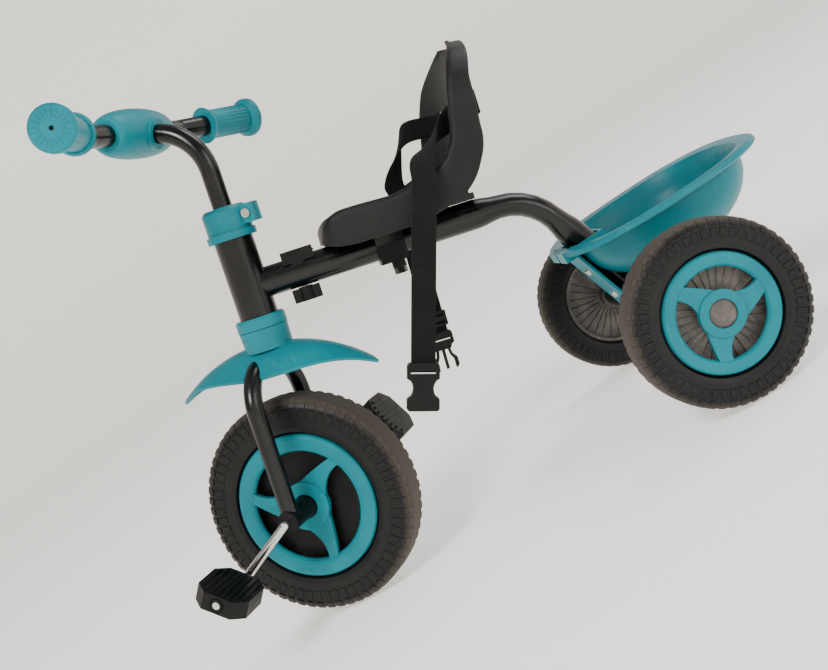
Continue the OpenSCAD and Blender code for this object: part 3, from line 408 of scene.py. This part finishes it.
lug_sunk, wall_row_drop, lug_thick, lug_share, lug_bevel = 0.0004, 0.0045, 0.0030, 0.66, 0.0006
for name, wheel, body, radius, width, count, rubber in (
        ("front_tread", front_axle, "front_wheel", front_r, front_width, 62, front_rubber),
        ("rear_tread_left", rear_axle[-1], "rear_wheel_left", rear_r, rear_width, 52, rear_rubber),
        ("rear_tread_right", rear_axle[1], "rear_wheel_right", rear_r, rear_width, 52, rear_rubber)):
    shoulder = width * 0.28
    for side in (-1, 1):
        # slope is how far round the shoulder a row stands: 90 is on the tyre's side wall
        for row, slope in enumerate((38, 64, 90)):
            high = shoulder * (cos(radians(slope)) - 1) - lug_sunk - (wall_row_drop if slope == 90 else 0)
            out = shoulder * (sin(radians(slope)) - 1) - lug_sunk
            block = (lug_thick, shoulder * (0.47 if slope < 90 else 0.9), 2 * pi * (radius + high) / count * lug_share)
            lug = grown("%s_%s_%d" % (name, "inner" if side > 0 else "outer", row), ring_tree, ring_inputs,
                        {"Count": count, "Radius": radius + high, "Along": side * (width / 2 + out), "Block": block,
                         "Tip": side * radians(slope), "Phase": 0.0 if side > 0 else pi / count, "Finish": rubber},
                        wheel, body, lug_bevel)

# ---- Rear wheel plates ----
# Behind each teal trim the blow-moulded wheel has a plain grey plate, stiffened by thin radial fins.
fin_count, fin_middle_r, fin_y, fin_size, fin_bevel = 30, 0.0365, 0.0036, (0.037, 0.0020, 0.0013), 0.0004
for side, hand in ((-1, "left"), (1, "right")):
    for face, way in ((-1, "outer"), (1, "inner")):
        fins = grown("plate_fins_%s_%s" % (hand, way), ring_tree, ring_inputs,
                     {"Count": fin_count, "Radius": fin_middle_r, "Along": face * fin_y, "Block": fin_size,
                      "Finish": wheel_grey}, rear_axle[side], "rear_wheel_" + hand, fin_bevel)

# ---- Handgrips ----
# The grips are moulded in the same teal, with ribs along the barrel and a stop disc at each end. The
# outer disc's face has short ridges round its middle hole, and its rim has fine ribs.
stem_bend_from, bend_r, bend, reach = 0.385, 0.060, radians(72), 0.035
bar_half, bar_sweep, grip_start = 0.0945, 21, 0.043
bar_forward = bend_r * (1 - cos(bend)) + reach * sin(bend)
bar_up = stem_bend_from + bend_r * sin(bend) + reach * cos(bend)
handlebar = steering @ Matrix.Translation((-bar_forward, 0, bar_up))
for side, hand in ((-1, "left"), (1, "right")):
    # turned so that local y runs outwards along the grip, from its inner flange
    outwards = turned_z(-side * bar_sweep + (180 if side < 0 else 0))
    grip = handlebar @ Matrix.Translation((0, side * bar_half, 0)) @ outwards @ Matrix.Translation((0, grip_start, 0))
    for name, count, radius, along, block, bevel in (
            ("grip_ribs_", 26, 0.01715, 0.035, (0.0012, 0.052, 0.0017), 0.0004),
            ("grip_ridges_", 20, 0.0150, 0.0788, (0.0085, 0.0016, 0.0018), 0.0005),
            ("grip_rim_ribs_", 40, 0.0232, 0.0725, (0.0010, 0.0062, 0.0016), 0.0003)):
        piece = grown(name + hand, ring_tree, ring_inputs,
                      {"Count": count, "Radius": radius, "Along": along, "Block": block, "Finish": teal},
                      grip, "steering", bevel)

# ---- Pedals ----
# Each pedal is an eight-sided block of black polypropylene that turns on the crank's end, with rows
# of raised treads across its two faces to hold a shoe.
ladder_tree, ladder_inputs, given = new_tree("row_of_bars", (
    ("Count", "Int", 6), ("Step", "Float", 0.007), ("Length", "Float", 0.04), ("Shorter", "Float", 0.004),
    ("Width", "Float", 0.002), ("Height", "Float", 0.0015)))
at = Wire(ladder_tree)
off_middle = at.node("GeometryNodeInputIndex") - (given["Count"] - 1) * 0.5
spot = at.node("ShaderNodeCombineXYZ", {}, {0: off_middle * given["Step"]})
points = at.node("GeometryNodePoints", {}, {"Count": given["Count"], "Position": spot})
bar_size = at.node("ShaderNodeCombineXYZ", {}, {0: given["Width"], 1: given["Length"], 2: given["Height"]})
block = at.node("GeometryNodeMeshCube", {}, {"Size": bar_size})
# the outermost bar at each end is shorter, where the block's corners are cut
far = off_middle.maths("ABSOLUTE", off_middle) - (given["Count"] - 1) * 0.5 + 1.5
short = 1 - far.maths("MAXIMUM", far, 0.0) * given["Shorter"] / given["Length"]
trimmed = at.node("ShaderNodeCombineXYZ", {}, {0: 1.0, 1: short, 2: 1.0})
end_tree(ladder_tree, at.node("GeometryNodeInstanceOnPoints", {},
                              {"Points": points, "Instance": block, "Scale": trimmed}), given["Finish"])
crank_rest, crank_length, pedal_y, pedal_face_z, tread_bevel = 36, 0.081, 0.121, 0.0108, 0.0006
for side, foot, pitch in ((-1, "left", 32), (1, "right", 58)):
    lean = 180 - crank_rest if side < 0 else -crank_rest
    pedal = front_axle @ turned_y(lean) @ Matrix.Translation((crank_length, side * pedal_y, 0)) \
        @ turned_y(pitch - lean)
    for face in (-1, 1):
        tread = grown("pedal_tread_%s_%s" % (foot, "top" if face > 0 else "sole"), ladder_tree, ladder_inputs,
                      {"Count": 8, "Step": 0.0068, "Length": 0.054, "Shorter": 0.012, "Width": 0.0026,
                       "Height": 0.0024, "Finish": black_plastic},
                      pedal @ Matrix.Translation((0, 0, face * pedal_face_z)), foot + "_pedal", tread_bevel)

# ---- Seat ----
# The seat is one thin black polypropylene moulding with a fine leather-like grain: a nose that slopes
# to the clip on the tube, a dished pan, and a back with wings, a hand hole and two harness slots.
tube_start, tube_angle = (-0.168858, 0, 0.36543), 15.4
tube = Matrix.Translation(tube_start) @ turned_y(tube_angle)
nose_at, pan_at, seat_length, half_seat, back_top, seat_wall = 0.091, 0.035, 0.192, 0.131, 0.186, 0.004
turn_r, seat_tilt = 0.058, radians(84)
pan_end = nose_at + seat_length - 0.002 - turn_r
slot_near, slot_far, slot_low, slot_high, slot_from = 0.078, 0.090, 0.098, 0.127, 0.22
hole_half, hole_low, hole_high, hole_from = 0.027, 0.152, 0.168, 0.25


def level_of(t, keys):
    """The value at t on a line through keys, each a (t, value) pair."""
    for (t0, v0), (t1, v1) in zip(keys, keys[1:]):
        if t <= t1:
            return v0 + (v1 - v0) * max(0.0, (t - t0) / (t1 - t0))
    return keys[-1][1]


def seat_spine(t):
    """Place along the tube, height and tilt of the seat's middle line, from nose to top."""
    if t < 0.45:
        return nose_at + (pan_end - nose_at) * t / 0.45, pan_at, 0.0
    if t < 0.68:
        a = seat_tilt * (t - 0.45) / 0.23
        return pan_end + turn_r * sin(a), pan_at + turn_r * (1 - cos(a)), a
    u, base = (t - 0.68) / 0.32, turn_r * (1 - cos(seat_tilt))
    rise = back_top - pan_at - base
    return pan_end + turn_r * sin(seat_tilt) + rise * u / tan(seat_tilt), pan_at + base + rise * u, seat_tilt


# from nose to top: the half width as a share of the widest, and the edge's rise and skirt in millimetres
half_keys = [(0, .62), (.01, .71), (.03, .78), (.08, .82), (.2, .88), (.4, .96), (.6, 1), (.78, 1), (.86, .95),
             (.91, .86), (.95, .72), (.975, .56), (.99, .42), (1, .3)]
rise_keys = [(0, -2), (.015, 5), (.04, 11), (.08, 15), (.14, 15), (.28, 13), (.36, 17), (.45, 26), (.55, 34),
             (.66, 36), (.8, 31), (.9, 24), (1, 8)]
skirt_keys = [(0, -17), (.04, -21), (.1, -24), (.35, -24), (.48, -14), (.58, -2), (.68, 3), (.85, 4), (1, -8)]


def seat_row(t):
    """Points across the seat at t: skirt, rounded edge, dished face, edge and skirt."""
    along, height, tilt = seat_spine(t)
    w, rise = half_seat * level_of(t, half_keys), level_of(t, rise_keys) / 1000
    skirt, edge = level_of(t, skirt_keys) / 1000, 0.007
    inner = w - edge
    half = [(inner * i / 14, rise * (i / 14) ** 3) for i in range(15)]
    half += [(inner + edge * sin(radians(a)), rise - edge * (1 - cos(radians(a)))) for a in (22, 45, 68, 90)]
    half += [(w, rise - edge + (skirt + edge - rise) * k / 3) for k in (1, 2, 3)]
    across = [(-y, n) for y, n in reversed(half[1:])] + half
    return [Vector((along - n * sin(tilt), y, height + n * cos(tilt))) for y, n in across]


levels = [0, .006, .014, .025, .04, .06, .08, .11, .15] + [.2 + .24 * i / 7 for i in range(8)]
levels += [.46 + .22 * i / 14 for i in range(15)] + [.70 + .19 * i / 11 for i in range(12)]
levels += [.91, .93, .95, .965, .98, .99, 1]
rows = [seat_row(t) for t in levels]
front_edge = [Vector((p.x - 0.0005, p.y * 0.99, min(p.z, pan_at - 0.016))) for p in rows[0]]
middle_edge = [(p + q) / 2 for p, q in zip(rows[0], front_edge)]
rows = [front_edge, middle_edge] + rows
shell = bmesh.new()
grid = [[shell.verts.new(tube @ p) for p in row] for row in rows]
for low, high in zip(grid, grid[1:]):
    for k in range(len(low) - 1):
        corners = (low[k], low[k + 1], high[k + 1], high[k])
        spot = tube.inverted() @ (sum((v.co for v in corners), Vector()) / 4)
        in_slot = slot_near < abs(spot.y) < slot_far and slot_low < spot.z < slot_high and spot.x > slot_from
        in_hand_hole = abs(spot.y) < hole_half and hole_low < spot.z < hole_high and spot.x > hole_from
        if not in_slot and not in_hand_hole:
            shell.faces.new(corners)
loose = [v for v in shell.verts if not v.link_faces]
bmesh.ops.delete(shell, geom=loose, context="VERTS")
bmesh.ops.recalc_face_normals(shell, faces=shell.faces)
pan_middle = tube @ Vector((0.15, 0, pan_at))
middle_face = min(shell.faces, key=lambda f: (f.calc_center_median() - pan_middle).length)
if middle_face.normal.z < 0:
    bmesh.ops.reverse_faces(shell, faces=shell.faces)
seat_mesh = bpy.data.meshes.new("seat_moulding")
shell.to_mesh(seat_mesh)
shell.free()
for face in seat_mesh.polygons:
    face.use_smooth = True
seat = bpy.data.objects.new("seat_moulding", seat_mesh)
bpy.context.scene.collection.objects.link(seat)
wall = seat.modifiers.new("Wall", "SOLIDIFY")
wall.thickness, wall.offset = seat_wall, -1
soft = seat.modifiers.new("Soft", "SUBSURF")
soft.levels = soft.render_levels = 2


def seat_dye(place):
    cell = place.node("ShaderNodeTexVoronoi", {"feature": "DISTANCE_TO_EDGE"}, {"Vector": place, "Scale": 620.0})
    dust = place.noise(16, 6, 0.68).between(0.42, 0.75)
    fleck = place.noise(520, 3).between(0.62, 0.7)
    return {"Base_Color": (fleck * 0.25 + dust * 0.35).blend(shade(0.004, 0.004, 0.004),
                                                             shade(0.025, 0.0235, 0.022)),
            "Roughness": 0.44 + dust * 0.18,
            "Normal": (cell.between(0.0, 0.25) * 0.7 + place.noise(260, 3) * 0.4).bump(0.00025, 0.55)}


seat_mesh.materials.append(finish_of("grained_black_seat", seat_dye, Specular_IOR_Level=0.25))
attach(seat, "seat")
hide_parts("seat_shell")

# ---- Harness ----
# The harness is 25 mm black polyester webbing. Its two lengths meet behind the seat's back. Each passes
# through a slot and over a wing's edge, hangs beside the seat and carries half of the buckle.
web_width, web_thick, web_columns, weave_scale = 0.025, 0.0018, 6, 40
strap_length, hang_steps, bend_run = 0.191, 40, 0.03
strap_top_x, strap_top_z, strap_y = nose_at + 0.113, pan_at + 0.015, half_seat + 0.005 + 2 * web_thick + 0.0006
back_at, slot_mid, slot_y = nose_at + seat_length, 0.114, 0.084


def webbing_yarn(place):
    uv = place.node("ShaderNodeUVMap", {"uv_map": "weave"})
    # ribs across the webbing, 1.3 mm apart, broken into a herringbone by the warp
    rib = place.node("ShaderNodeTexWave", {"bands_direction": "Y"}, {"Vector": uv, "Scale": 6.0, "Distortion": 0.6})
    warp = place.node("ShaderNodeTexWave", {"bands_direction": "X"}, {"Vector": uv, "Scale": 9.0})
    fuzz = place.noise(1400, 3)
    dust = place.noise(30, 5, 0.7).between(0.45, 0.8)
    return {"Base_Color": (dust * 0.35 + rib * 0.18).blend(shade(0.002, 0.002, 0.002), shade(0.018, 0.016, 0.014)),
            "Roughness": 0.8 + fuzz * 0.1,
            "Normal": (rib * 0.8 + warp * 0.5 + fuzz * 0.5).bump(0.0004, 0.7)}


webbing = finish_of("black_polyester_webbing", webbing_yarn, Specular_IOR_Level=0.2, Sheen_Weight=0.06,
                    Sheen_Roughness=0.5)


def strip(name, path, across):
    """Webbing along a path of points, with its width along the across vectors."""
    made = bmesh.new()
    woven = made.loops.layers.uv.new("weave")
    places, run = [], 0.0
    for i, (point, side_way) in enumerate(zip(path, across)):
        run += (point - path[i - 1]).length if i else 0.0
        places.append(([made.verts.new(point + side_way.normalized() * web_width * (k / web_columns - 0.5))
                        for k in range(web_columns + 1)], run))
    for (low, at0), (high, at1) in zip(places, places[1:]):
        for k in range(web_columns):
            face = made.faces.new((low[k], low[k + 1], high[k + 1], high[k]))
            face.smooth = True
            for loop, (column, along) in zip(face.loops, ((k, at0), (k + 1, at0), (k + 1, at1), (k, at1))):
                loop[woven].uv = (column / web_columns * web_width * weave_scale, along * weave_scale)
    mesh = bpy.data.meshes.new(name)
    made.to_mesh(mesh)
    made.free()
    piece = bpy.data.objects.new(name, mesh)
    bpy.context.scene.collection.objects.link(piece)
    fold = piece.modifiers.new("Thickness", "SOLIDIFY")
    fold.thickness, fold.offset = web_thick, 0
    mesh.materials.append(webbing)
    final = bpy.data.meshes.new_from_object(piece.evaluated_get(bpy.context.evaluated_depsgraph_get()))
    piece.modifiers.clear()
    piece.data = final
    return piece


def curve_through(keys, steps=10):
    """A smooth path through key points, by Catmull-Rom."""
    ends = [keys[0] * 2 - keys[1]] + keys + [keys[-1] * 2 - keys[-2]]
    path = []
    for a, b, c, d in zip(ends, ends[1:], ends[2:], ends[3:]):
        for i in range(steps):
            u = i / steps
            square, cube = a * 2 - b * 5 + c * 4 - d, b * 3 - a - c * 3 + d
            path.append((b * 2 + (c - a) * u + square * u * u + cube * u ** 3) / 2)
    return path + [keys[-1]]


# the left end lies close over its wing, and the right end stands up off it in a loop
left_crest = ((0.249, 0.094, 0.102), (0.226, 0.114, 0.089), (0.2095, 0.131, 0.071))
right_crest = ((0.230, 0.100, 0.1155), (0.2145, 0.120, 0.095), (0.2025, 0.136, 0.066))
upright = tube.to_3x3() @ Vector((0, 0, 1))
harness = []
for side, hand, swing, crest in ((-1, "left", 33.5, left_crest), (1, "right", 17, right_crest)):
    over_edge = curve_through([tube @ Vector((x, side * y, z)) for x, y, z in (
        (back_at + 0.0068, 0.0, slot_mid), (back_at + 0.0068, slot_y - 0.012, slot_mid),
        (back_at + 0.004, slot_y - 0.001, slot_mid), (back_at - 0.012, slot_y + 0.001, slot_mid - 0.002), *crest,
        (strap_top_x, strap_y, strap_top_z))])
    down = Matrix.Rotation(radians(swing), 3, "Y") @ Vector((0, 0, -1))
    level_way = Matrix.Rotation(radians(swing), 3, "Y") @ Vector((1, 0, 0))
    twist = []
    for i in range(len(over_edge)):
        u = max(0.0, (i / (len(over_edge) - 1) - 0.45) / 0.55)
        u = u * u * (3 - 2 * u)
        twist.append(upright * (1 - u) + level_way * u)
    top = tube @ Vector((strap_top_x, side * strap_y, strap_top_z))
    hang = [top + down * strap_length * i / hang_steps for i in range(1, hang_steps + 1)]
    harness.append(strip("harness_" + hand, over_edge + hang, twist + [level_way] * hang_steps))
    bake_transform(harness[-1])
    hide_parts("strap_" + hand)
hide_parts("harness_back")
